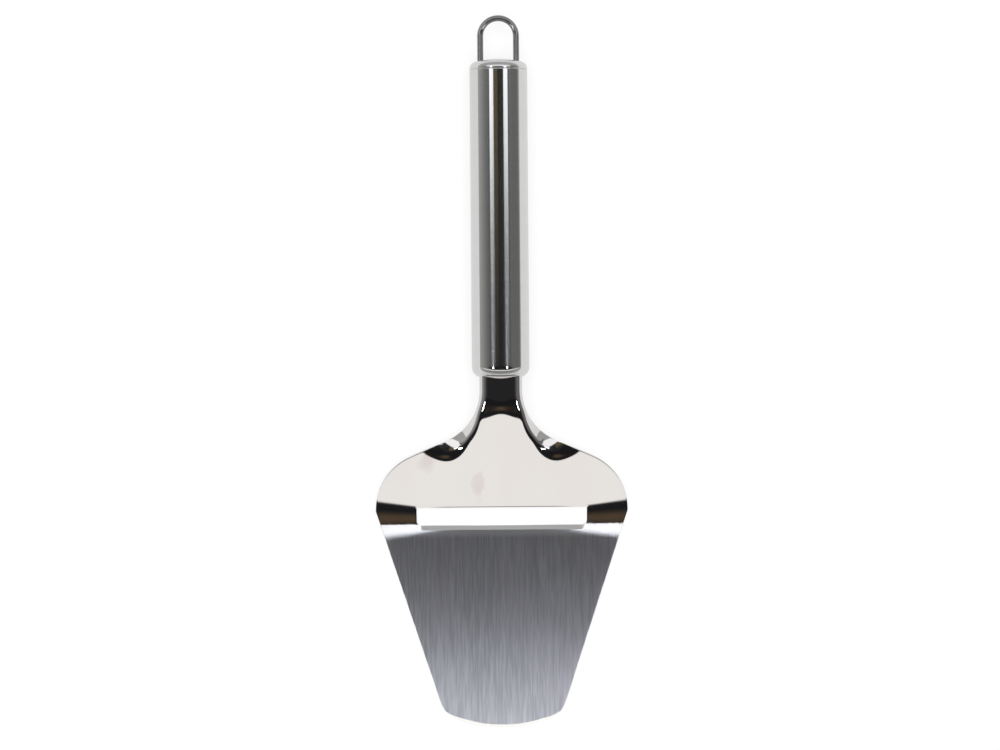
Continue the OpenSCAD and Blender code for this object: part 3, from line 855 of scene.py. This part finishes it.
def make_floor():
    """A white table top. Most of its white is plain colour, and the rest takes the object's shadow."""
    material = bpy.data.materials.new("table")
    material.use_nodes = True
    nodes = Nodes(material.node_tree)
    lit = nodes.add("ShaderNodeBsdfDiffuse", {"Color": FLOOR_WHITE})
    path = nodes.add("ShaderNodeLightPath").outputs
    mirrored = nodes.maths("MAXIMUM", path["Is Glossy Ray"], path["Is Transmission Ray"])
    brightness = nodes.maths("MULTIPLY_ADD", mirrored, MIRRORED_FLOOR, path["Is Camera Ray"])
    glow = nodes.add("ShaderNodeEmission", {"Color": (1, 1, 1, 1), "Strength": brightness})
    share = nodes.maths("MULTIPLY", nodes.maths("MAXIMUM", mirrored, path["Is Camera Ray"]), FLOOR_GLOW)
    mixed = nodes.add("ShaderNodeMixShader", {0: share, 1: lit.outputs[0], 2: glow.outputs[0]})
    output = nodes.add("ShaderNodeOutputMaterial")
    nodes.put(output.inputs["Surface"], mixed.outputs[0])
    mesh = bpy.data.meshes.new("floor")
    turns = [2 * math.pi * k / FLOOR_STEPS for k in range(FLOOR_STEPS)]
    corners = [(FLOOR_RADIUS * math.cos(a), FLOOR_RADIUS * math.sin(a), -FLOOR_DROP) for a in turns]
    mesh.from_pydata(corners, [], [range(FLOOR_STEPS)])
    mesh.materials.append(material)
    floor = bpy.data.objects.new("floor", mesh)
    bpy.context.scene.collection.objects.link(floor)


# Colour of the room at the table's height and straight up
ROOM_LOW = (0.4, 0.4, 0.395, 1)
ROOM_TOP = (0.02, 0.02, 0.022, 1)
# Each panel: its limits to the right and away in degrees, each with the softness of its edges, and its light
SOFTBOX_LIGHT = (1.08, 1.09, 1.11)
STRIP_LIGHT = (1.6, 1.62, 1.66)
FRONT_LIGHT = (29.0, 29.0, 29.5)
FRONT_EDGE_LIGHT = (29.0, 30.3, 36.4)
PANELS = (
    ((-87, 87, 4), (33, 89, 3), (0.4, 0.4, 0.4)),
    ((44, 86, 6), (-40, 40, 6), (0.15, 0.15, 0.15)),
    ((-48, 48, 12), (-38.8, -4, 2), (0.012, 0.012, 0.014)),
    ((-3.5, 3.5, 3), (-29, -19, 4), (0.085, 0.06, 0.038)),
    ((-80, 80, 4), (-49, -38.8, 1), (1.0, 0.985, 0.97)),
    ((-26, -5, 2), (2.5, 12.5, 1.5), (0.11, 0.085, 0.045)),
    ((-50, 50, 4), (13, 33, 1.5), SOFTBOX_LIGHT),
    ((-37, -21, 1), (4, 12, 1.5), STRIP_LIGHT),
    ((19, 36, 1), (4, 12, 1.5), STRIP_LIGHT),
    ((-31.5, -28.5, 0.5), (-19, -9, 0.5), FRONT_LIGHT),
    ((25, 28, 0.5), (-19, -9, 0.5), FRONT_LIGHT),
    ((-31.5, -28.5, 0.5), (-9, -6.8, 1.0), FRONT_EDGE_LIGHT),
    ((25, 28, 0.5), (-9, -6.8, 1.0), FRONT_EDGE_LIGHT),
)


def make_world():
    """A dim studio with soft panels, placed by their angles from straight up: right is +X and away is +Y."""
    world = bpy.data.worlds.new("studio")
    bpy.context.scene.world = world
    world.use_nodes = True
    nodes = Nodes(world.node_tree)
    direction = nodes.add("ShaderNodeTexCoord").outputs["Generated"]
    parts = nodes.add("ShaderNodeSeparateXYZ", {0: direction}).outputs
    right = nodes.maths("DEGREES", nodes.maths("ARCTAN2", parts["X"], parts["Z"]))
    away = nodes.maths("DEGREES", nodes.maths("ARCTAN2", parts["Y"], parts["Z"]))

    def inside(angle, low, high, soft):
        rise = nodes.smooth(angle, low - soft, low + soft)
        fall = nodes.smooth(angle, high - soft, high + soft, 1.0, 0.0)
        return nodes.maths("MULTIPLY", rise, fall)

    colour = nodes.mix(parts["Z"], ROOM_LOW, ROOM_TOP)
    for (right_low, right_high, right_soft), (away_low, away_high, away_soft), tint in PANELS:
        across = inside(right, right_low, right_high, right_soft)
        along = inside(away, away_low, away_high, away_soft)
        colour = nodes.mix(nodes.maths("MULTIPLY", across, along), colour, (*tint, 1))
    background = nodes.add("ShaderNodeBackground", {"Color": colour, "Strength": 1.0})
    output = nodes.add("ShaderNodeOutputWorld")
    nodes.put(output.inputs["Surface"], background.outputs[0])


LAMP_HEIGHT = 1.6
LAMP_SIZE = 1.2
LAMP_POWER = 22.0


def make_lamp():
    """A large soft lamp overhead that lights the table and stays out of the steel's reflections."""
    data = bpy.data.lights.new("softbox", "AREA")
    data.size = LAMP_SIZE
    data.energy = LAMP_POWER
    lamp = bpy.data.objects.new("softbox", data)
    lamp.location = (0, 0, LAMP_HEIGHT)
    lamp.visible_glossy = False
    lamp.visible_camera = False
    bpy.context.scene.collection.objects.link(lamp)


CAMERA_HEIGHT = 1.2
CAMERA_AT = (-0.23 * MM, -0.8 * MM)
CAMERA_ROLL = math.radians(-0.45)
SENSOR_WIDTH = 36.0
IMAGE_WIDTH = 1000
PIXELS_PER_MM = 3.037


def make_camera():
    """Straight above the slicer, at the scale that the handle has in the picture."""
    data = bpy.data.cameras.new("camera")
    data.sensor_fit = "HORIZONTAL"
    data.sensor_width = SENSOR_WIDTH
    focal_pixels = PIXELS_PER_MM * (CAMERA_HEIGHT / MM - AXIS_Z)
    data.lens = focal_pixels * SENSOR_WIDTH / IMAGE_WIDTH
    camera = bpy.data.objects.new("camera", data)
    camera.location = (CAMERA_AT[0], CAMERA_AT[1], CAMERA_HEIGHT)
    camera.rotation_euler = (0, 0, CAMERA_ROLL)
    bpy.context.scene.collection.objects.link(camera)
    bpy.context.scene.camera = camera


make_camera()
make_floor()
make_world()
make_lamp()
bpy.context.scene.view_settings.view_transform = "Standard"

make_head(head_material())
make_handle(marked_steel("handle_steel", *RINGED, HANDLE_ROUGH, GRIP_COLOURS))
make_cap(marked_steel("cap_steel", *RINGED, CAP_ROUGH, GRIP_COLOURS))
make_loop(marked_steel("loop_steel", *DRAWN, WIRE_ROUGH, WIRE_COLOURS))
bare_weld = weld_material()
for node in ("tang_welds", "loop_welds"):
    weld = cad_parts[node]
    weld.data.materials.clear()
    weld.data.materials.append(bare_weld)
